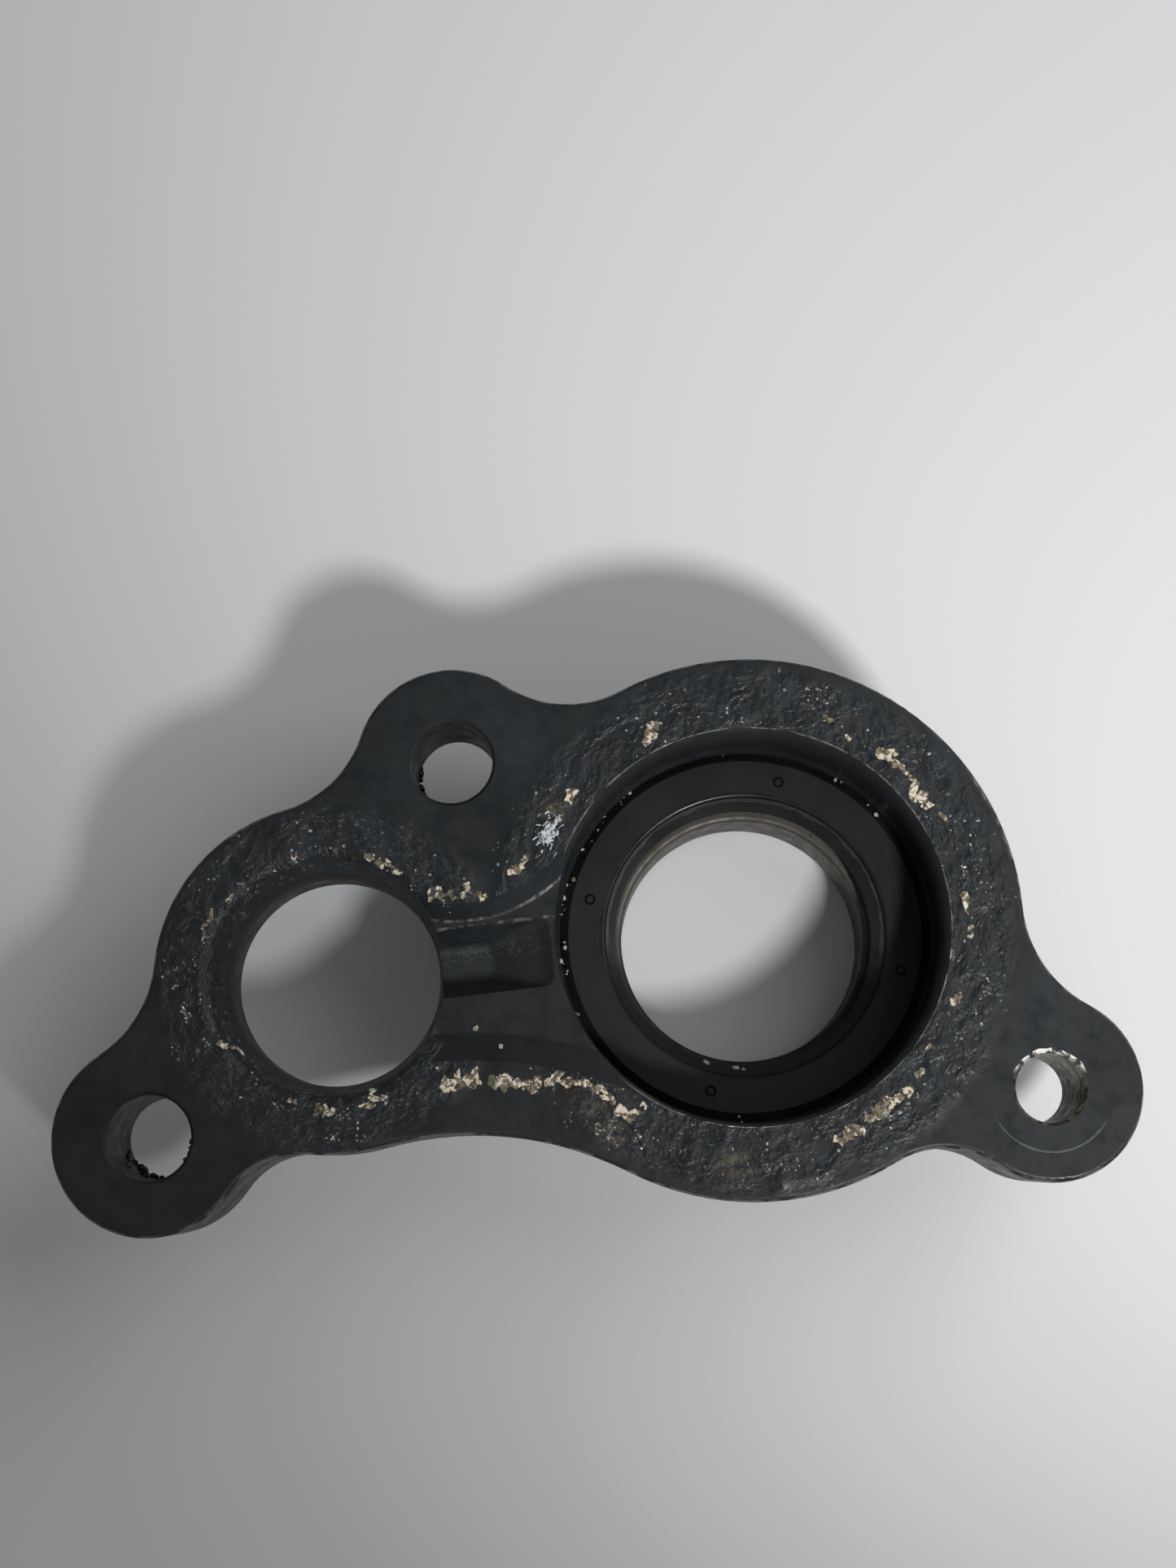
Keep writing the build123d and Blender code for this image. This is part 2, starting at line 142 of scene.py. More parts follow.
key = hang_lamp("key_lamp", "SPOT", key_at, key_aim, key_watts)
key.shadow_soft_size = key_bulb
key.spot_size = key_cone
key.spot_blend = key_edge
side = hang_lamp("side_lamp", "AREA", side_at, side_aim, side_watts)
side.shape = "DISK"
side.size = side_width

eye = bpy.data.cameras.new("camera")
eye.lens = camera_lens
eye.sensor_width = camera_sensor
eye.clip_start = camera_nearest
camera = bpy.data.objects.new("camera", eye)
camera.location = camera_at
camera.rotation_euler = camera_lean
bpy.context.scene.collection.objects.link(camera)
bpy.context.scene.camera = camera
bpy.context.scene.view_settings.view_transform = "Standard"

# ---- Flange housing
# A grey iron casting, machined on its face and in its bores and painted blue-black all over. Where the
# gasket lay the paint is scraped and gritty, with pale specks that are partly painted glints; its edges
# carry painted highlights; the small ear's hole was drilled after painting.
paint_dark = (0.0105, 0.0125, 0.0140, 1)
paint_worn = (0.0215, 0.0245, 0.0270, 1)
paint_scrape = (0.038, 0.043, 0.047, 1)
paint_gloss = 0.24
trough_worn = (0.0240, 0.0270, 0.0270, 1)
scratch_grey = (0.110, 0.120, 0.125, 1)
edge_highlight_grey = (0.28, 0.28, 0.27, 1)
grit_and_glint_pale = (0.42, 0.43, 0.43, 1)
oil_stain = (0.026, 0.018, 0.010, 1)
grime_brown = (0.070, 0.060, 0.040, 1)
land_brown = (0.034, 0.030, 0.025, 1)
bare_iron = (0.24, 0.21, 0.16, 1)
bare_brown = (0.055, 0.045, 0.030, 1)
chip_and_highlight_bright = (0.75, 0.72, 0.66, 1)

fits = {mount["name"]: mount for mount in frame["record"]["mounts"]}
hub_at, port_at, left_ear_at, top_ear_at, right_ear_at = (
    Vector((*fits[name]["pos_m"][:2], 0))
    for name in ("pilot_bore", "side_bore", "left_ear_hole", "top_ear_hole", "right_ear_hole"))
hub_r, port_r, ear_r, right_ear_r = (
    fits[name]["dims"]["r_mm"] / 1000
    for name in ("pilot_bore", "side_bore", "top_ear_hole", "right_ear_hole"))
hub_rim_r = 0.0422
port_rim_r = 0.0272
saddle_r = 0.0200
pocket_foot_r = 0.0248
washer_r = 0.0096
trough_half = 0.0054
trough_reach = (0.046, 0.052)
scuff_aside = 0.0016
scuff_width = 0.0026
brink_width = 0.00045
ledge_width = 0.00036
mouth_aside = 0.0005
mouth_width = 0.00020
washer_width = 0.00030
washer_rise = (-0.004, -0.007)
lip_aside = 0.0004
lip_width = 0.0009
lip_rise = (0.0020, 0.0042)
trough_along = (hub_at - port_at).normalized()
trough_across = Vector((-trough_along.y, trough_along.x, 0))

# the bands round an axis that marks keep to: whole up to the first radius and gone at the second, both
# measured from the radius of the bore, the hole, the rim or the saddle
hub_gasket = (0.0085, 0.0120)
port_gasket = (0.0085, 0.0125)
saddle_fade = (0, 0.001)
mouth_fade = (0.0036, 0.0042)
land_fade = (0.0004, 0.0009)
rim_fade = (-0.003, -0.002)
ear_rim_fade = (0.0012, 0.0015)
bare_fade = (0.00025, 0.0006)
# the heights that marks keep to: none at the first and full at the second, with the gasket face at 0
face_heights = (-0.0012, -0.0002)
mouth_heights = (-0.0090, -0.0040)
pocket_top = (-0.0015, -0.0026)
pocket_floor = (-0.0088, -0.0080)
trough_top = (-0.0033, -0.0046)
trough_floor = (-0.0090, -0.0084)
trough_shade = (-0.0070, -0.0040)
outline_heights = (-0.0011, -0.0007)
land_heights = (-0.0085, -0.0100)
# how level the skin must be for a mark: none at the first and full at the second, with 1 for level
face_slopes = (0.85, 0.97)
pocket_slopes = (0.20, 0.50)
trough_slopes = (0.55, 0.78)
outline_slopes = (0.92, 0.70)
outline_foot = (0.15, 0.45)
# how patchy a mark is: clouds per metre, the levels between which it comes in, and how finely broken
thin_clouds = (60.0, 0.20, 0.85)
dark_clouds = (420.0, 0.45, 0.70)
scraped_clouds = (150.0, 0.48, 0.60)
mark_clouds = (120.0, 0.40, 0.58, 3.0)
oil_clouds = (95.0, 0.60, 0.72)
grime_clouds = (800.0, 0.38, 0.56)
trough_clouds = (1500.0, 0.48, 0.66)
edge_clouds = (260.0, 0.42, 0.56)
nick_clouds = (850.0, 0.36, 0.56)
bare_clouds = (330.0, 0.34, 0.48)
rust_clouds = (700.0, 0.40, 0.62)
chip_clouds = (600.0, 0.42, 0.52)
lump_clouds = (190.0, 0.30, 0.70, 2.0)
lump_patches = (45.0, 0.35, 0.60, 1.0)
# strokes of the scraper: how many to the metre across, then for the hub and for the side bore how many
# to a radian of turn, and the levels between which they come in; each stroke drifts a little out of round
broad_strokes = (1100.0, (16.0, 0.50, 0.72), (11.0, 0.48, 0.70))
fine_strokes = (2200.0, (22.0, 0.61, 0.65), (14.0, 0.59, 0.63))
dragged_skin = (330.0, (8.0, 0.35, 0.70), (5.0, 0.35, 0.70))
stroke_drift = 0.004
strokes_deep = 300.0
# patches of old grime: turn round the hub in degrees, distance from its axis and reach in metres
grime_patches = [(-95, 0.0366, 0.0036), (-124, 0.0385, 0.0034), (-131, 0.0372, 0.0022), (150, 0.0350, 0.0030)]
grime_core = 0.2


def calc(tree, operation, *values):
    return add(tree, "Math", dict(enumerate(values)), operation=operation)[0]


def times(tree, first, *others):
    for other in others:
        first = calc(tree, "MULTIPLY", first, other)
    return first


def either(tree, first, *others):
    for other in others:
        first = calc(tree, "MAXIMUM", first, other)
    return first


def opposite(tree, mask):
    return calc(tree, "SUBTRACT", 1.0, mask)


def ramp(tree, value, low, high, start=0.0, end=1.0):
    ends = {"From Min": low, "From Max": high, "To Min": start, "To Max": end}
    return add(tree, "MapRange", {"Value": value, **ends}, interpolation_type="SMOOTHSTEP")[0]


def cloud(tree, place, scale, detail, rough=0.5):
    return add(tree, "TexNoise", {"Vector": place, "Scale": scale, "Detail": detail, "Roughness": rough})[0]


def mottle(tree, place, scale, low, high, detail=4.0):
    return ramp(tree, cloud(tree, place, scale, detail, rough=0.6), low, high)


def lay(tree, under, over, *masks, share=1.0):
    # the colour over, laid on the colour under where every mask lets it through
    return add(tree, "Mix", {0: times(tree, *masks, share), 6: under, 7: over}, data_type="RGBA")[2]


def relief(tree, height, strength, depth, **settings):
    return add(tree, "Bump", {"Strength": strength, "Distance": depth, "Height": height}, **settings)[0]


def warped(tree, place, scale, reach):
    # the place, pushed about by up to reach
    push = add(tree, "TexNoise", {"Vector": place, "Scale": scale, "Detail": 2.0})["Color"]
    return add(tree, "VectorMath", {0: push, 1: [reach] * 3, 2: place}, operation="MULTIPLY_ADD")[0]


def flat_reach(tree, place, centre):
    # how far the place lies from the upright axis through centre
    flat = add(tree, "VectorMath", {0: place, 1: (1, 1, 0)}, operation="MULTIPLY")[0]
    return add(tree, "VectorMath", {0: flat, 1: centre}, operation="DISTANCE")["Value"]


def new_mask(name, **sockets):
    # a node group that makes one mask from its named inputs and from the place on the object
    group = bpy.data.node_groups.new(name, "ShaderNodeTree")
    for socket, value in sockets.items():
        kind = "NodeSocketFloat" if isinstance(value, float) else "NodeSocketVector"
        group.interface.new_socket(socket, in_out="INPUT", socket_type=kind).default_value = value
    group.interface.new_socket("Mask", in_out="OUTPUT", socket_type="NodeSocketFloat")
    given = group.nodes.new("NodeGroupInput").outputs
    mask = group.nodes.new("NodeGroupOutput").inputs["Mask"]
    return group, given, add(group, "TexCoord", {})["Object"], mask


def make_near_axis():
    # 1 within Inside of an upright axis through Centre, 0 beyond Outside of it
    group, given, place, mask = new_mask("near_axis", Centre=(0, 0, 0), Inside=0.01, Outside=0.02)
    reach = flat_reach(group, place, given["Centre"])
    group.links.new(ramp(group, reach, given["Outside"], given["Inside"]), mask)
    return group


def make_specks():
    # loose grains in cells of Spacing metres: Share of the cells hold one, with a radius of up to Fill cells
    group, given, place, mask = new_mask("grit_specks", Spacing=0.001, Share=0.1, Fill=0.3)
    per_metre = calc(group, "DIVIDE", 1.0, given["Spacing"])
    moved = warped(group, place, scale=1400.0, reach=0.0006)
    cell = add(group, "TexVoronoi", {"Vector": moved, "Scale": per_metre})
    pick = add(group, "SeparateColor", {0: cell["Color"]})
    chosen = calc(group, "LESS_THAN", pick[0], given["Share"])
    grain = calc(group, "LESS_THAN", cell["Distance"], times(group, pick[1], given["Fill"]))
    group.links.new(times(group, chosen, grain), mask)
    return group


def make_scuffs():
    # thin marks that run round an upright axis through Centre, as a scraper or a turning tool leaves them
    group, given, place, mask = new_mask(
        "round_scuffs", Centre=(0, 0, 0), Across=1500.0, Along=6.0, Low=0.6, High=0.7)
    arm = add(group, "VectorMath", {0: place, 1: given["Centre"]}, operation="SUBTRACT")[0]
    axes = add(group, "SeparateXYZ", {0: arm})
    turn = calc(group, "ARCTAN2", axes["Y"], axes["X"])
    reach = flat_reach(group, place, given["Centre"])
    wander = cloud(group, place, scale=160.0, detail=1.0)
    drift = calc(group, "MULTIPLY_ADD", wander, stroke_drift, reach)
    steps = (times(group, drift, given["Across"]), times(group, turn, given["Along"]),
             times(group, axes["Z"], strokes_deep))
    grid = add(group, "CombineXYZ", dict(enumerate(steps)))[0]
    lines = cloud(group, grid, scale=1.0, detail=3.0, rough=0.65)
    group.links.new(ramp(group, lines, given["Low"], given["High"]), mask)
    return group


def thin_line(tree, place, aside, width, wobble):
    # 1 where aside, the distance from the line, is under half its width, which varies along it
    half = times(tree, width, cloud(tree, place, wobble, detail=3.0))
    return calc(tree, "LESS_THAN", calc(tree, "ABSOLUTE", aside), half)


def make_ring_line():
    # a line of Width metres on the cylinder of radius Reach about an upright axis through Centre
    group, given, place, mask = new_mask("ring_line", Centre=(0, 0, 0), Reach=0.03, Width=0.0003)
    aside = calc(group, "SUBTRACT", flat_reach(group, place, given["Centre"]), given["Reach"])
    group.links.new(thin_line(group, place, aside, given["Width"], wobble=320.0), mask)
    return group


def make_straight_line():
    # a line of Width metres on the plane through Point that faces Across
    group, given, place, mask = new_mask("straight_line", Point=(0, 0, 0), Across=(0, 1, 0), Width=0.0003)
    arm = add(group, "VectorMath", {0: place, 1: given["Point"]}, operation="SUBTRACT")[0]
    aside = add(group, "VectorMath", {0: arm, 1: given["Across"]}, operation="DOT_PRODUCT")["Value"]
    group.links.new(thin_line(group, place, aside, given["Width"], wobble=420.0), mask)
    return group


near_axis = make_near_axis()
grit_specks = make_specks()
round_scuffs = make_scuffs()
ring_line = make_ring_line()
straight_line = make_straight_line()


def use(tree, group, **sockets):
    return add(tree, "Group", sockets, node_tree=group)["Mask"]


def around(tree, centre, reach, inside, outside):
    # near an upright axis, with both ends of the fade measured from reach
    return use(tree, near_axis, Centre=centre, Inside=reach + inside, Outside=reach + outside)


def outward(angle):
    # one step away from an upright axis
    return Vector((math.cos(angle), math.sin(angle), 0))


def scraped(tree, zones, across, *strokes):
    # strokes round both bores, each kept to its own zone
    marks = []
    for (centre, zone), (along, low, high) in zip(zones, strokes):
        lines = use(tree, round_scuffs, Centre=centre, Across=across, Along=along, Low=low, High=high)
        marks.append(times(tree, lines, zone))
    return either(tree, *marks)


class HousingPlaces:
    # the places on the casting that its marks keep to
    def __init__(self, tree):
        self.place = add(tree, "TexCoord", {})["Object"]
        axes = add(tree, "SeparateXYZ", {0: self.place})
        self.rise = axes["Y"]
        self.height = axes["Z"]
        self.up = add(tree, "SeparateXYZ", {0: add(tree, "NewGeometry", {})["Normal"]})["Z"]
        self.front = ramp(tree, self.height, *face_heights)
        self.face = times(tree, self.front, ramp(tree, self.up, *face_slopes))
        self.zones = [(hub_at, around(tree, hub_at, hub_r, *hub_gasket)),
                      (port_at, around(tree, port_at, port_r, *port_gasket))]
        gasket = either(tree, *[zone for centre, zone in self.zones])
        self.saddle = around(tree, (hub_at + port_at) / 2, saddle_r, *saddle_fade)
        mouth = times(tree, around(tree, port_at, port_r, *mouth_fade),
                      ramp(tree, self.height, *mouth_heights), opposite(tree, self.saddle))
        within = times(tree, ramp(tree, self.height, *pocket_top), ramp(tree, self.height, *pocket_floor))
        self.pocket = times(tree, within, ramp(tree, self.up, *pocket_slopes), gasket)
        self.band = either(tree, times(tree, gasket, self.face), mouth)
        self.patchy = mottle(tree, self.place, *mark_clouds)
        self.broken = mottle(tree, self.place, *edge_clouds)


def wear_paint(tree, on, marks):
    # thin and worn places, the strokes of the scraper round each bore, then oil stains and old grime
    colour = lay(tree, paint_dark, paint_worn, mottle(tree, on.place, *thin_clouds))
    colour = lay(tree, colour, paint_dark, mottle(tree, on.place, *dark_clouds), share=0.55)
    colour = lay(tree, colour, paint_scrape, mottle(tree, on.place, *scraped_clouds), on.band, share=0.15)
    colour = lay(tree, colour, paint_scrape, scraped(tree, on.zones, *broad_strokes), on.band, share=0.25)
    colour = lay(tree, colour, scratch_grey, marks, share=0.75)
    colour = lay(tree, colour, oil_stain, mottle(tree, on.place, *oil_clouds), on.band, share=0.7)
    for turn, reach, spread in grime_patches:
        centre = hub_at + outward(math.radians(turn)) * reach
        patch = around(tree, centre, 0, spread * grime_core, spread)
        speckled = mottle(tree, on.place, *grime_clouds)
        colour = lay(tree, colour, grime_brown, patch, on.face, speckled, share=0.9)
    return colour


def scatter_grit_and_glints(tree, on):
    # pale specks of grit that also stand as painted glints: fine in patches, coarse anywhere that the gasket
    # lay, and a few specks elsewhere
    fine = times(tree, use(tree, grit_specks, Spacing=0.00075, Share=0.16, Fill=0.34), on.patchy)
    coarse = use(tree, grit_specks, Spacing=0.0021, Share=0.12, Fill=0.13)
    far_dust = use(tree, grit_specks, Spacing=0.0050, Share=0.09, Fill=0.040)
    return either(tree, times(tree, either(tree, fine, coarse), on.band), times(tree, far_dust, on.face))


def scuff_trough(tree, on, colour):
    # the trough's floor is worn paler, with painted shade keeping it darker where it is deepest, and it is
    # scuffed along its upper side
    trough = times(tree, ramp(tree, on.height, *trough_top), ramp(tree, on.height, *trough_floor),
                   ramp(tree, on.up, *trough_slopes), around(tree, hub_at, 0, *trough_reach))
    scuff_at = port_at + trough_across * scuff_aside
    scuff = use(tree, straight_line, Point=scuff_at, Across=trough_across, Width=scuff_width)
    # painted shade: less paleness towards the trough's bottom
    colour = lay(tree, colour, trough_worn, trough, ramp(tree, on.height, *trough_shade, 0.6, 1.0))
    return lay(tree, colour, scratch_grey, trough, scuff, mottle(tree, on.place, *trough_clouds), share=0.3)


def rub_and_highlight_edges(tree, on, colour):
    # edges painted bright, partly as rubbed paint and partly as painted highlights: the mouth of the main
    # bore, the rims of the pocket, and the casting's outline
    mouth = use(tree, ring_line, Centre=hub_at, Reach=hub_r + mouth_aside, Width=mouth_width)
    ledge = use(tree, ring_line, Centre=top_ear_at, Reach=pocket_foot_r, Width=ledge_width)
    brink_at = port_at + trough_across * trough_half
    brink = use(tree, straight_line, Point=brink_at, Across=trough_across, Width=brink_width)
    rims = times(tree, either(tree, ledge, brink), on.pocket, mottle(tree, on.place, *nick_clouds))
    rubbed_and_highlit = times(tree, either(tree, times(tree, mouth, on.front), rims), on.broken)
    openings = (
        (hub_at, hub_rim_r, rim_fade), (port_at, port_rim_r, rim_fade), (left_ear_at, ear_r, ear_rim_fade),
        (top_ear_at, ear_r, ear_rim_fade), (right_ear_at, right_ear_r, ear_rim_fade))
    inner = either(tree, on.saddle, *[around(tree, centre, reach, *fade) for centre, reach, fade in openings])
    outline = times(tree, ramp(tree, on.height, *outline_heights), ramp(tree, on.up, *outline_slopes),
                    ramp(tree, on.up, *outline_foot), on.broken, opposite(tree, inner))
    # painted highlights, partly rubbed paint: these edges are painted lighter grey
    colour = lay(tree, colour, edge_highlight_grey, rubbed_and_highlit, share=0.6)
    return lay(tree, colour, edge_highlight_grey, outline, share=0.35), rubbed_and_highlit


def above_right_ear(tree, on, start, end):
    # none at start and full at end, both measured up the face from the axis of the small ear
    return ramp(tree, on.rise, right_ear_at.y + start, right_ear_at.y + end)


def bare_bores(tree, on, colour):
    # a washer's mark round the small ear's hole, the side bore's machined land, then the small ear's hole
    # itself, drilled through the paint, its upper lip painted bright as chips and as a painted highlight
    washer = use(tree, ring_line, Centre=right_ear_at, Reach=washer_r, Width=washer_width)
    lower = above_right_ear(tree, on, *washer_rise)
    colour = lay(tree, colour, scratch_grey, washer, on.face, lower, share=0.6)
    land = times(tree, around(tree, port_at, port_r, *land_fade), ramp(tree, on.height, *land_heights))
    colour = lay(tree, colour, land_brown, land)
    bare = times(tree, around(tree, right_ear_at, right_ear_r, *bare_fade),
                 mottle(tree, on.place, *bare_clouds))
    bare_tone = lay(tree, bare_brown, bare_iron, mottle(tree, on.place, *rust_clouds))
    colour = lay(tree, colour, bare_tone, bare)
    # painted highlight and chips: the hole's upper lip is painted near white
    lip = use(tree, ring_line, Centre=right_ear_at, Reach=right_ear_r + lip_aside, Width=lip_width)
    chips = mottle(tree, on.place, *chip_clouds)
    return lay(tree, colour, chip_and_highlight_bright, lip, on.front, above_right_ear(tree, on, *lip_rise), chips), bare


def paint_skin(tree, on, marks, grit_and_glints):
    # smooth on the ears, lumpy and dragged about where the gasket was scraped off
    grain = cloud(tree, on.place, scale=650.0, detail=3.0, rough=0.6)
    lumps = times(tree, mottle(tree, on.place, *lump_clouds), mottle(tree, on.place, *lump_patches), on.band)
    drag = times(tree, scraped(tree, on.zones, *dragged_skin), on.band, 0.9)
    height = times(tree, grain, ramp(tree, on.band, 0.0, 1.0, 0.10, 0.22))
    for extra in (lumps, drag, times(tree, marks, 0.25), times(tree, grit_and_glints, 0.4)):
        height = calc(tree, "ADD", height, extra)
    return relief(tree, height, strength=0.8, depth=0.00042)


def paint_housing():
    finish, tree, skin = new_finish("flange_paint", {"Specular IOR Level": paint_gloss})
    on = HousingPlaces(tree)
    marks = times(tree, scraped(tree, on.zones, *fine_strokes), on.patchy, on.band)
    grit_and_glints = scatter_grit_and_glints(tree, on)
    sheen = cloud(tree, on.place, scale=240.0, detail=5.0, rough=0.7)
    # pale grit specks, partly painted glints
    colour = lay(tree, wear_paint(tree, on, marks), grit_and_glint_pale, grit_and_glints, share=0.85)
    colour = scuff_trough(tree, on, colour)
    colour, rubbed_and_highlit = rub_and_highlight_edges(tree, on, colour)
    colour, bare = bare_bores(tree, on, colour)
    plug(tree, skin, {
        "Base Color": colour,
        "Metallic": either(tree, times(tree, bare, 0.8), times(tree, rubbed_and_highlit, 0.5)),
        "Roughness": ramp(tree, sheen, 0.32, 0.68, 0.32, 0.58),
        "Normal": paint_skin(tree, on, marks, grit_and_glints),
    })
    return finish


def coat(node, finish):
    node.data.materials.clear()
    node.data.materials.append(finish)


coat(frame["nodes"]["flange_housing"], paint_housing())

# ---- Gasket scraps
# Pieces of the old paper gasket and its cream sealing paste, still stuck to the face along the gasket's
# inner edge. Each is a thin crust of a few torn shards with ragged outlines.

# A scrap is its turn round a bore in degrees, its distance from the bore's axis, its length and width in
# millimetres, and how far it is turned out of the round.
scraps_round_hub = [
    (117, 33.9, 4.2, 1.7, 35), (144, 34.4, 2.4, 1.5, 0), (166, 36.9, 4.2, 1.3, -30),
    (150, 35.3, 1.2, 1.0, 0), (69, 34.7, 2.1, 0.9, 0), (62, 33.3, 1.1, 0.8, 0), (50, 34.2, 4.4, 1.6, 0),
    (44, 34.4, 3.8, 0.9, 0), (38, 33.0, 2.6, 2.2, 30), (35, 33.6, 2.8, 1.8, 0), (29, 34.5, 1.8, 0.8, 0),
    (6, 33.4, 3.0, 1.2, 0), (-2, 33.8, 2.2, 1.2, 0), (-20, 33.4, 1.6, 1.1, 0), (-35, 32.9, 1.4, 0.7, 0),
    (-42, 34.2, 1.8, 1.0, 0), (-49, 34.4, 3.2, 1.7, 0), (-54, 34.3, 3.4, 2.3, 0), (-58, 34.5, 2.8, 1.8, 0),
    (-65, 34.8, 2.9, 2.5, 20), (-68, 34.9, 2.0, 2.2, 0), (-121, 32.2, 1.1, 0.9, 0),
    (-124, 34.5, 3.2, 2.2, 10), (-129, 34.5, 2.2, 1.1, 20), (-133, 34.6, 2.6, 1.0, 30),
    (-137, 35.9, 3.0, 1.1, 38), (-141, 37.5, 3.0, 1.9, 40), (-143, 40.4, 3.4, 1.5, 50),
    (-144, 42.4, 2.8, 1.6, 50), (-146, 44.4, 3.0, 2.2, 50), (-148, 46.0, 2.6, 2.0, 50),
    (-151, 50.3, 4.0, 2.9, 55), (-152, 52.4, 2.8, 2.4, 60), (-150, 48.6, 1.6, 0.7, 50),
]
scraps_round_port = [
    (69, 19.3, 2.8, 1.0, 0), (61, 19.4, 3.2, 1.1, -10), (107, 19.4, 1.1, 1.0, 0), (154, 20.8, 3.2, 0.8, 0),
    (142, 19.8, 2.0, 0.8, 0), (-142, 17.9, 2.0, 0.7, 30), (-147, 19.2, 2.0, 0.8, 25),
    (-105, 19.6, 1.5, 0.9, 0), (-92, 20.3, 2.2, 1.9, 0), (-88, 20.7, 1.8, 1.2, 0),
    (-72, 20.6, 2.6, 0.9, -10), (-66, 20.2, 2.6, 1.0, -10), (-68, 19.2, 1.5, 1.0, 40),
    (37, 21.6, 2.2, 1.3, -30), (34, 22.6, 1.5, 1.2, 0), (33, 25.2, 1.4, 1.7, 0), (31, 24.2, 1.2, 1.0, 0),
    (28, 26.5, 1.5, 1.3, 0), (39, 20.1, 1.5, 0.7, -40),
]
chip_pitch = 1.4
chip_shift = 0.12
chip_drift = 0.22
chip_lean = 0.5
chip_long = (1.4, 2.3)
chip_wide = (1.3, 2.2)
chip_taper = 0.5
chip_reach = 0.9
chip_seeds = (0, 90)
shard_corners = 7
shard_rings = 6
edge_points = 5
corner_shift = 0.6
corner_reach = (0.82, 0.70)
edge_fray = 0.16
frays_per_shard = 4.5
scrap_thick = 0.00024
scrap_sunk = 0.00030
crust_mean = 0.60
crust_lumps = 1.2
crust_limits = (0.08, 1.1)
crust_fall = 8
lumps_per_metre = 1500
face_edge_r = port_r + 0.0038
mouth_round = 0.0022
mouth_limit = 0.98
cream = (0.62, 0.55, 0.42, 1)
cream_shade = (0.060, 0.044, 0.028, 1)
cream_highlight = (0.74, 0.69, 0.59, 1)
cream_green = (0.085, 0.085, 0.060, 1)
cream_tan = (0.150, 0.112, 0.072, 1)
# the heights at which a scrap's painted shade at its foot gives way to plain cream, above the face and below
# it
cream_crown = (0.00003, 0.00013)
cream_foot = (-0.00002, -0.00006)
shards_per_metre = 820.0
pits_per_metre = 1900.0
tear_half = 0.10
tear_core = 0.3
pit_levels = (0.44, 0.16)
tan_levels = (0.62, 0.72)
heal_clouds = (420.0, 0.46, 0.62, 2.0)
crumbled_clouds = (900.0, 0.52, 0.60, 2.0)
green_clouds = (130.0, 0.56, 0.66)


def face_level(spot):
    # the gasket face lies at 0, and rolls down into the mouth of the side bore
    inward = face_edge_r - (Vector((spot.x, spot.y, 0)) - port_at).length
    if inward <= 0:
        return 0.0
    inward = min(inward, mouth_round * mouth_limit)
    return math.sqrt(mouth_round ** 2 - inward ** 2) - mouth_round


def place_object(name, shell, finish, body):
    mesh = bpy.data.meshes.new(name)
    bmesh.ops.recalc_face_normals(shell, faces=shell.faces)
    shell.to_mesh(mesh)
    shell.free()
    mesh.materials.append(finish)
    made = bpy.data.objects.new(name, mesh)
    bpy.context.scene.collection.objects.link(made)
    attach(made, body)
    return made


def lie_axes(lie):
    # along the scrap, and across it away from the bore
    along = outward(lie)
    return along, Vector((along.y, -along.x, 0))


def shard_outline(seed):
    # a torn outline of a few straight edges, about 1 in radius
    corners = []
    for corner in range(shard_corners):
        shift, reach = (noise.noise(Vector((corner * 1.7, seed, level))) for level in (0.5, 7.5))
        bearing = math.tau * (corner + corner_shift * shift) / shard_corners
        corners.append(outward(bearing) * (corner_reach[0] + corner_reach[1] * reach))
    return corners


def lay_scrap(shell, middle, lie, length, width, seed):
    # rings of points from the middle out to the torn outline; the last ring is sunk into the face, and
    # length and width come in millimetres
    half_length = length / 2000
    half_width = width / 2000
    spokes = shard_corners * edge_points
    corners = shard_outline(seed)
    along_dir, out_dir = lie_axes(lie)
    rows = []
    for ring in range(shard_rings + 1):
        share = ring / shard_rings
        row = []
        for spoke in range(spokes if ring else 1):
            corner, between = divmod(spoke * shard_corners / spokes, 1)
            step = corners[int(corner)].lerp(corners[(int(corner) + 1) % shard_corners], between)
            step *= 1 + edge_fray * noise.noise(step * frays_per_shard + Vector((0, 0, seed + 40)))
            along = step.x * share * half_length
            out = step.y * share * half_width
            spot = middle + along_dir * along + out_dir * out
            lump = noise.noise(Vector((along * lumps_per_metre, out * lumps_per_metre, seed * 3)))
            crust = (1 - share ** crust_fall) * (crust_mean + crust_lumps * lump)
            crust = min(max(crust, crust_limits[0]), crust_limits[1])
            spot.z = face_level(spot) + (crust * scrap_thick if ring < shard_rings else -scrap_sunk)
            row.append(shell.verts.new(spot))
        rows.append(row)
    for spoke in range(spokes):
        after = (spoke + 1) % spokes
        shell.faces.new((rows[0][0], rows[1][spoke], rows[1][after]))
        for inner, outer in zip(rows[1:], rows[2:]):
            shell.faces.new((inner[spoke], outer[spoke], outer[after], inner[after]))
    shell.faces.new(list(reversed(rows[-1])))


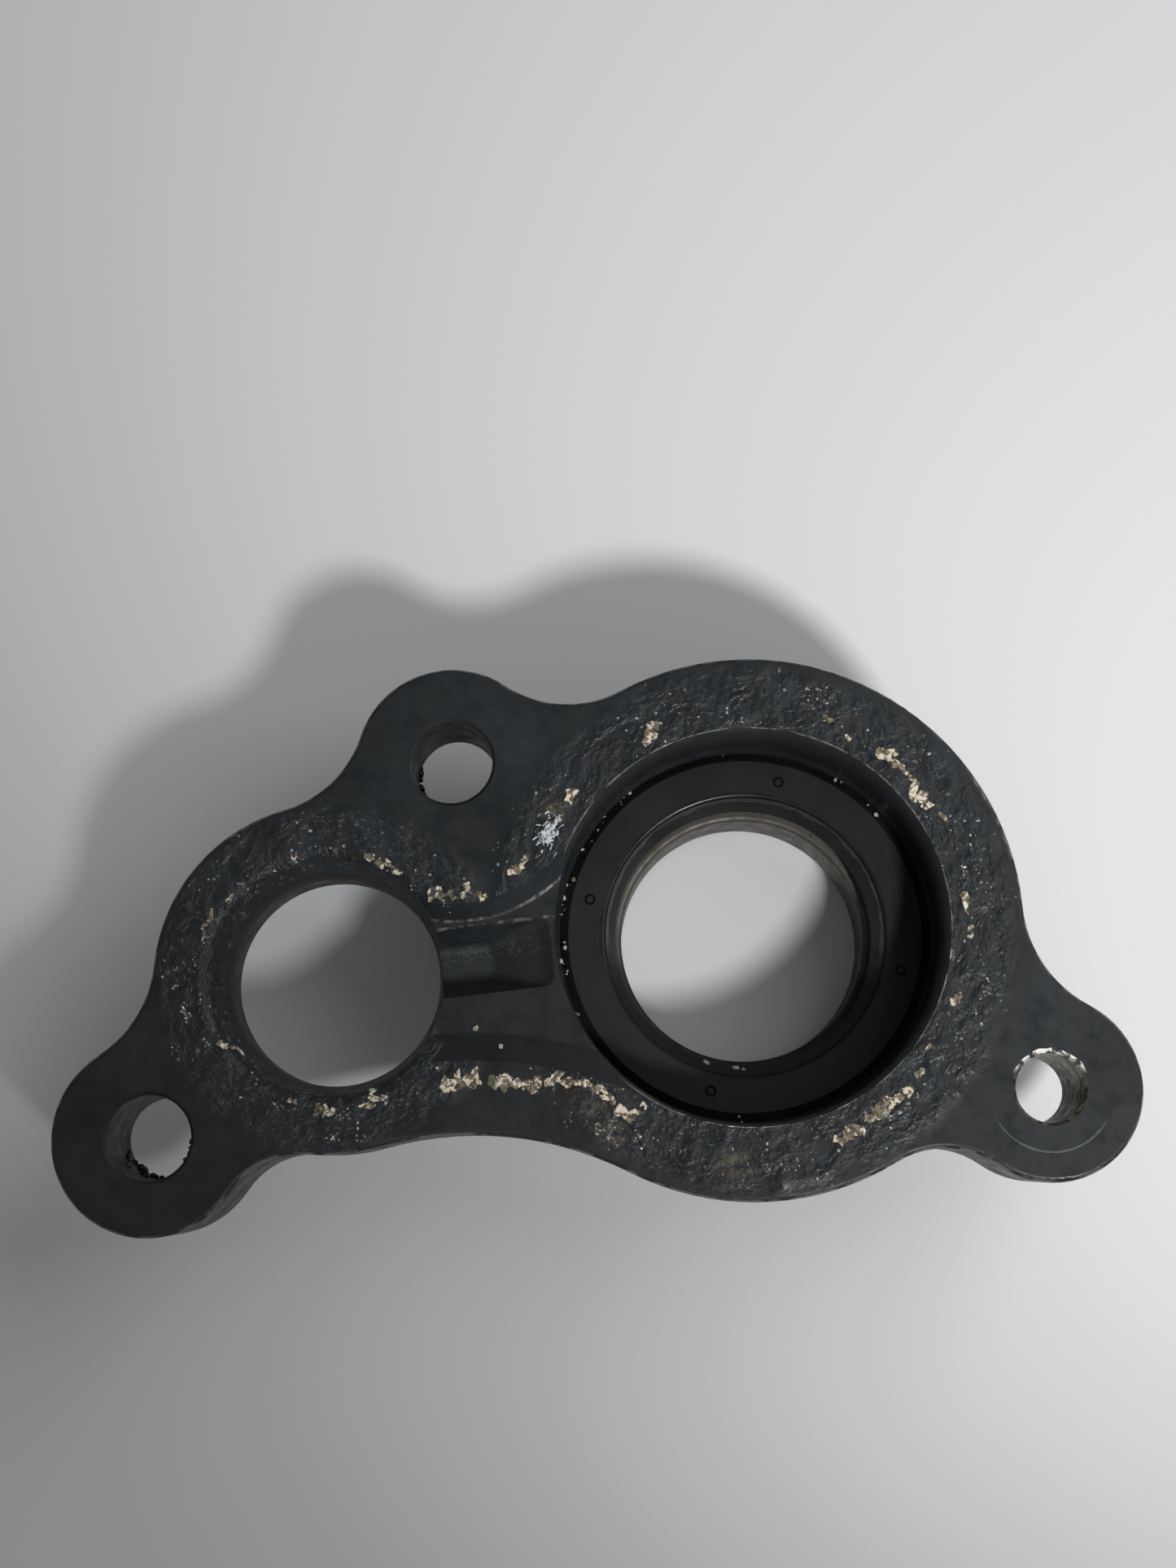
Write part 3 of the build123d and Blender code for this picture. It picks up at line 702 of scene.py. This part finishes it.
def cream_paste():
    finish, tree, skin = new_finish("cream_paste", {"Roughness": 0.72, "Specular IOR Level": 0.3})
    place = add(tree, "TexCoord", {})["Object"]
    pits = add(tree, "TexVoronoi", {"Vector": place, "Scale": pits_per_metre})["Distance"]
    height = add(tree, "SeparateXYZ", {0: place})["Z"]
    # painted shade: the paste is darker at its low foot and plain cream on its crown
    crown_unshaded = either(tree, ramp(tree, height, *cream_crown), ramp(tree, height, *cream_foot))
    colour = lay(tree, cream_shade, cream, crown_unshaded)
    # painted highlights: lighter in the middles of the small cells that also pit its skin
    colour = lay(tree, colour, cream_highlight, ramp(tree, pits, *pit_levels), share=0.7)
    # it broke up as it was scraped: shards with dark tears between them, and some shards still brown
    shards = {"Vector": warped(tree, place, scale=900.0, reach=0.0009), "Scale": shards_per_metre}
    tone = add(tree, "SeparateColor", {0: add(tree, "TexVoronoi", shards)["Color"]})[0]
    colour = lay(tree, colour, cream_tan, ramp(tree, tone, *tan_levels), share=0.85)
    tear = add(tree, "TexVoronoi", shards, feature="DISTANCE_TO_EDGE")["Distance"]
    tear = calc(tree, "ADD", tear, times(tree, mottle(tree, place, *heal_clouds), 0.25))
    colour = lay(tree, colour, cream_shade, ramp(tree, tear, tear_half, tear_half * tear_core), share=0.9)
    colour = lay(tree, colour, cream_shade, mottle(tree, place, *crumbled_clouds), share=0.80)
    colour = lay(tree, colour, cream_green, mottle(tree, place, *green_clouds), share=0.75)
    pitted = relief(tree, pits, strength=0.7, depth=0.00025, invert=True)
    plug(tree, skin, {"Base Color": colour, "Normal": pitted})
    return finish


dice = random.Random(17)
shell = bmesh.new()
for centre, scraps in ((hub_at, scraps_round_hub), (port_at, scraps_round_port)):
    for turn, reach, length, width, lean in scraps:
        turn = math.radians(turn)
        lie = turn + math.pi / 2 + math.radians(lean)
        middle = centre + outward(turn) * reach / 1000
        along_dir, out_dir = lie_axes(lie)
        chips = max(2, round(length / chip_pitch))
        for chip in range(chips):
            share = (chip + 0.5) / chips - 0.5 + dice.uniform(-chip_shift, chip_shift) / chips
            spot = middle + along_dir * (share * chip_reach * length / 1000)
            spot += out_dir * (dice.uniform(-chip_drift, chip_drift) * width / 1000)
            chip_lie = lie + dice.uniform(-chip_lean, chip_lean)
            chip_length = dice.uniform(*chip_long) * length / chips
            chip_width = dice.uniform(*chip_wide) * width * (1 - chip_taper * abs(share))
            lay_scrap(shell, spot, chip_lie, chip_length, chip_width, dice.uniform(*chip_seeds))
place_object("gasket_scraps", shell, cream_paste(), "housing")

# ---- Sealing compound beads and flecks
# Where the paste squeezed out it dried as small glassy beads, in clusters, and as pale bluish flecks. A
# cluster is again a turn and a distance, then its length and width and how many beads it has.
beads_round_hub = [
    (14, 34.0, 3.0, 1.6, 12), (-29, 35.4, 2.0, 1.0, 5), (-126, 36.6, 2.2, 2.0, 12),
    (-126, 39.0, 5.4, 2.6, 40), (-118, 37.2, 2.8, 1.8, 16), (-134, 41.0, 2.2, 1.6, 9),
    (-134, 35.0, 6.0, 1.6, 26), (-108, 36.4, 2.0, 1.0, 5), (8, 36.5, 9.0, 3.5, 16),
    (-12, 37.0, 8.0, 3.0, 12), (72, 38.0, 12.0, 4.0, 16), (45, 37.5, 9.0, 4.0, 8), (145, 37.0, 3.0, 2.0, 4),
    (-50, 36.2, 8.0, 1.0, 14), (-80, 37.0, 12.0, 4.0, 14),
]
beads_round_port = [
    (119, 19.2, 2.2, 1.2, 9), (134, 19.8, 2.2, 1.0, 6), (162, 20.1, 2.0, 1.4, 10),
    (-169, 19.9, 2.4, 0.7, 5), (-166, 22.4, 3.4, 2.0, 18), (-150, 21.1, 2.6, 2.0, 10),
    (-177, 23.6, 2.4, 1.6, 5), (-155, 25.4, 3.0, 1.8, 7), (-82, 21.2, 3.6, 1.4, 14),
    (-87, 24.8, 2.6, 1.8, 16), (-77, 25.4, 2.4, 1.4, 7), (36, 21.0, 5.0, 1.4, 16), (30, 25.6, 4.0, 1.8, 12),
    (172, 20.6, 5.0, 1.0, 6), (-110, 21.0, 4.0, 1.6, 8), (-60, 22.0, 7.0, 2.0, 8),
]
bead_r = (0.00008, 0.00026)
bead_flat = 0.7
bead_dents = 0.45
bead_clear = (0.30, 0.295, 0.25, 1)
bead_dark = (0.055, 0.052, 0.040, 1)
bead_clouds = (900.0, 0.40, 0.62)
cluster_spread = 0.24
fleck_count = 110
fleck_beads = 5
fleck_turn = 155
fleck_reach = 34.6
fleck_spread = (0.0008, 0.0013)
fleck_lean = (1.0, 0.5)
fleck_shear = 0.35
fleck_step = (0.0001, 0.0005)
fleck_r = (0.00005, 0.00016)
fleck_flat = 0.5
fleck_pale = (0.58, 0.61, 0.63, 1)
fleck_clouds = (1300.0, 0.36, 0.50)


def drop_bead(shell, spot, radius, flatness):
    made = bmesh.ops.create_icosphere(shell, subdivisions=1, radius=radius)["verts"]
    for vert in made:
        vert.co *= 1 + bead_dents * dice.uniform(-1, 1)
        vert.co.z *= flatness
        vert.co += spot


def mottled_finish(name, dark, pale, clouds, rough, gloss=0.5):
    finish, tree, skin = new_finish(name, {"Roughness": rough, "Specular IOR Level": gloss})
    place = add(tree, "TexCoord", {})["Object"]
    plug(tree, skin, {"Base Color": lay(tree, dark, pale, mottle(tree, place, *clouds))})
    return finish


shell = bmesh.new()
for centre, clusters in ((hub_at, beads_round_hub), (port_at, beads_round_port)):
    for turn, reach, length, width, count in clusters:
        for _ in range(count):
            angle = math.radians(turn) + dice.gauss(0, cluster_spread) * length / reach
            arm = (reach + dice.gauss(0, cluster_spread) * width) / 1000
            spot = centre + outward(angle) * arm
            spot.z = face_level(spot)
            drop_bead(shell, spot, dice.uniform(*bead_r), bead_flat)
dried_beads = mottled_finish("dried_beads", bead_dark, bead_clear, bead_clouds, rough=0.22, gloss=0.6)
place_object("dried_beads", shell, dried_beads, "housing")

shell = bmesh.new()
fleck_middle = hub_at + outward(math.radians(fleck_turn)) * fleck_reach / 1000
for _ in range(fleck_count):
    shift = Vector((dice.gauss(0, fleck_spread[0]), dice.gauss(0, fleck_spread[1]), 0))
    shift.x += shift.y * fleck_shear
    thread = outward(dice.gauss(*fleck_lean)) * dice.uniform(*fleck_step)
    radius = dice.uniform(*fleck_r)
    for bead in range(fleck_beads):
        drop_bead(shell, fleck_middle + shift + thread * (bead / 2 - 1), radius, fleck_flat)
pale_flecks = mottled_finish(
    "pale_flecks", scratch_grey, fleck_pale, fleck_clouds, rough=0.55, gloss=0.4)
place_object("pale_flecks", shell, pale_flecks, "housing")

# ---- Paint lumps in the ears' holes
# The black paint ran into two of the bolt holes and dried as lumps on their lower rims. Each lump is its
# turn round the hole in degrees, its depth below the face and its size in millimetres.
lumps_in_left_ear = [
    (-4, 1.1, 0.50), (-13, 0.9, 0.35), (-21, 1.3, 0.40), (-30, 1.0, 0.45), (8, 0.9, 0.25),
    (-118, 12.0, 0.80), (-126, 14.5, 0.95), (-110, 15.0, 0.75), (-134, 16.0, 0.80), (-102, 16.6, 0.60),
    (-145, 15.0, 0.60), (-152, 12.0, 0.70), (-140, 9.0, 0.60), (-160, 14.0, 0.50),
]
lumps_in_top_ear = [
    (-168, 16.6, 0.80), (178, 16.8, 0.60), (170, 16.4, 0.70), (-158, 16.8, 0.75), (-150, 16.9, 0.45),
    (162, 16.8, 0.40), (-60, 16.9, 0.30),
]
lump_black = (0.0045, 0.0048, 0.0052, 1)
lump_brown = (0.0120, 0.0105, 0.0085, 1)
black_clouds = (700.0, 0.40, 0.60)
lump_aside = 0.0001
lump_dents = 0.45
dents_per_metre = 2200

shell = bmesh.new()
for centre, lumps in ((left_ear_at, lumps_in_left_ear), (top_ear_at, lumps_in_top_ear)):
    for turn, depth, size in lumps:
        spot = centre + outward(math.radians(turn)) * (ear_r + lump_aside)
        spot.z = -depth / 1000
        made = bmesh.ops.create_icosphere(shell, subdivisions=3, radius=size / 1000)["verts"]
        for vert in made:
            vert.co *= 1 + lump_dents * noise.noise(vert.co * dents_per_metre + spot * 900)
            vert.co += spot
lump_paint = mottled_finish("paint_lumps", lump_black, lump_brown, black_clouds, rough=0.28)
ear_hole_lumps = place_object("ear_hole_lumps", shell, lump_paint, "housing")
for face in ear_hole_lumps.data.polygons:
    face.use_smooth = True

# ---- Seal
# A rotary shaft seal: nitrile rubber moulded over a steel case, with a garter spring behind its lip. The
# rubber has gone dull. Its throat is polished on the upper side; painted shade darkens its lower side,
# the throat down inside it, and the grooves of its marks.
rubber_dull = (0.0040, 0.0044, 0.0044, 1)
rubber_dust = (0.0092, 0.0095, 0.0092, 1)
painted_shade_black = (0.0015, 0.0015, 0.0015, 1)
rubber_gloss = 0.3
up_down_fade = (-0.010, 0.006)
throat_r = 0.02265
lip_polish = 0.26
throat_fade = (0.0002, 0.0009)
mark_outside = (0.0045, 0.0048)
mark_inside = (0.0015, 0.0018)
seal_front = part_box("seal_body")[1].z
# depths below the seal's front: a mark is not there at the first and full at the second
throat_depths = (0.0004, 0.0012)
mark_depths = (0.00004, 0.00012)
mark_floor = (0.0005, 0.0004)


def below_front(tree, height, shallow, deep):
    return ramp(tree, height, seal_front - shallow, seal_front - deep)


def seal_rubber():
    finish, tree, skin = new_finish("seal_rubber", {"Specular IOR Level": rubber_gloss})
    place = add(tree, "TexCoord", {})["Object"]
    axes = add(tree, "SeparateXYZ", {0: place})
    height = axes["Z"]
    upper = ramp(tree, axes["Y"], *up_down_fade)
    dull = cloud(tree, place, scale=110.0, detail=4.0)
    rings = use(tree, round_scuffs, Centre=hub_at, Across=700.0, Along=3.0, Low=0.40, High=0.75)
    throat = around(tree, hub_at, throat_r, *throat_fade)
    # painted shade on the lower side of the throat
    lower_throat_shade = times(tree, throat, opposite(tree, upper))
    # painted shade in the grooves of the moulded marks
    marks = times(tree, below_front(tree, height, *mark_depths), below_front(tree, height, *mark_floor),
                  around(tree, hub_at, throat_r, *mark_outside),
                  opposite(tree, around(tree, hub_at, throat_r, *mark_inside)))
    dust = use(tree, grit_specks, Spacing=0.0045, Share=0.08, Fill=0.05)
    colour = lay(tree, rubber_dull, rubber_dust, ramp(tree, dull, 0.35, 0.7))
    colour = lay(tree, colour, rubber_dust, rings, share=0.5)
    # painted shade: the throat's lower side, the throat down inside it and the marks' grooves are darkened
    colour = lay(tree, colour, painted_shade_black, lower_throat_shade)
    colour = lay(tree, colour, painted_shade_black, throat, below_front(tree, height, *throat_depths), share=0.8)
    colour = lay(tree, colour, painted_shade_black, marks)
    colour = lay(tree, colour, grit_and_glint_pale, dust, share=0.6)
    lip = use(tree, ring_line, Centre=hub_at, Reach=throat_r + 0.0001, Width=0.0012)
    polish = times(tree, lip, upper, lip_polish)
    rough = calc(tree, "SUBTRACT", ramp(tree, dull, 0.3, 0.7, 0.52, 0.66), polish)
    rough = either(tree, rough, marks, times(tree, lower_throat_shade, 0.85))
    ribbed = relief(tree, rings, strength=0.15, depth=0.0001)
    plug(tree, skin, {"Base Color": colour, "Roughness": rough, "Normal": ribbed})
    return finish


coat(frame["nodes"]["seal_body"], seal_rubber())

# ---- Dirt in the main bore
# Crumbs of paste and sand that fell in: along the gap outside the seal, mostly on its left, three grains
# on the lip, and two in the pocket. A heap is a turn round the bore in degrees and how many crumbs it has;
# a lone grain is its turn, then its distance from the axis, its height and its size in millimetres.
crumb_heaps = [(131, 5), (140, 4), (150, 6), (163, 3), (171, 5), (183, 3), (190, 4), (205, 2), (222, 1),
               (96, 1), (60, 2), (44, 2), (268, 2), (308, 1)]
lone_grains = [(-107, 21.55, -19.3, 0.72), (-94, 21.45, -19.4, 0.60), (-91, 21.6, -18.9, 0.34),
               (-159.5, 45.5, -2.9, 0.50), (-154.2, 42.8, -1.6, 0.42)]
gap_r = 0.0300
heap_spread = 1.6
crumb_aside = (-0.0009, 0.0002)
crumb_level = (-0.0008, 0.0006)
crumb_radii = (0.00010, 0.00014, 0.00020, 0.00036)
crumb_flat = 0.8
crumb_pale = (0.40, 0.37, 0.29, 1)
crumb_brown = (0.12, 0.085, 0.05, 1)
crumb_clouds = (420.0, 0.40, 0.54)

shell = bmesh.new()
for turn, count in crumb_heaps:
    for _ in range(count):
        angle = math.radians(turn + dice.gauss(0, heap_spread))
        spot = hub_at + outward(angle) * (gap_r + dice.uniform(*crumb_aside))
        spot.z = seal_front + dice.uniform(*crumb_level)
        drop_bead(shell, spot, dice.choice(crumb_radii), crumb_flat)
for turn, reach, level, size in lone_grains:
    spot = hub_at + outward(math.radians(turn)) * reach / 1000
    spot.z = level / 1000
    drop_bead(shell, spot, size / 1000, crumb_flat)
bore_crumbs = mottled_finish("bore_crumbs", crumb_brown, crumb_pale, crumb_clouds, rough=0.5)
place_object("bore_crumbs", shell, bore_crumbs, "housing")

# ---- Bearing
# A deep groove ball bearing: two ground steel rings, sixteen balls, and a pressed cage of two halves that
# rivets hold together. The bore of the inner ring has a brown, spotted film where the shaft ran, and
# painted shade on its lower side.
steel_bright = (0.40, 0.39, 0.37, 1)
steel_brown = (0.070, 0.062, 0.053, 1)
film_brown = (0.030, 0.026, 0.021, 1)
film_grey = (0.110, 0.102, 0.090, 1)


def bearing_steel(name, bright, metallic, film, rough, lower_shade=0.0):
    # film is how much of the brown film there is, and rough the least and the greatest roughness; the last
    # number is how much painted shade darkens the lower side
    finish, tree, skin = new_finish(name, {"Metallic": metallic})
    place = add(tree, "TexCoord", {})["Object"]
    stain = cloud(tree, place, scale=350.0, detail=5.0, rough=0.65)
    turned = use(tree, round_scuffs, Centre=hub_at, Across=3000.0, Along=2.0, Low=0.30, High=0.80)
    spots = use(tree, grit_specks, Spacing=0.0012, Share=0.35, Fill=0.35)
    lower = ramp(tree, add(tree, "SeparateXYZ", {0: place})["Y"], *reversed(up_down_fade))
    colour = lay(tree, bright, steel_brown, ramp(tree, stain, 0.25, 0.75), share=film)
    colour = lay(tree, colour, film_brown, spots, film, share=0.6)
    # painted shade: the lower side is darkened
    colour = lay(tree, colour, painted_shade_black, lower, share=lower_shade)
    ridged = relief(tree, turned, strength=0.10, depth=0.00005)
    dull = ramp(tree, stain, 0.3, 0.7, *rough)
    plug(tree, skin, {"Base Color": colour, "Roughness": dull, "Normal": ridged})
    return finish


filmed_steel = bearing_steel(
    "filmed_steel", film_grey, metallic=0.5, film=0.97, rough=(0.45, 0.62), lower_shade=0.9)
ground_steel = bearing_steel("ground_steel", steel_bright, metallic=1.0, film=0.35, rough=(0.22, 0.36))
polished_steel = bearing_steel("polished_steel", steel_bright, metallic=1.0, film=0.10, rough=(0.08, 0.14))
pressed_steel = bearing_steel("pressed_steel", steel_bright, metallic=1.0, film=0.25, rough=(0.30, 0.45))
steel_parts = {
    "bearing_inner_ring": filmed_steel, "bearing_outer_ring": ground_steel, "seal_case": ground_steel,
    "garter_spring": ground_steel, "ball_": polished_steel, "cage_": pressed_steel,
}
for name, node in frame["nodes"].items():
    for start, steel in steel_parts.items():
        if name.startswith(start):
            coat(node, steel)
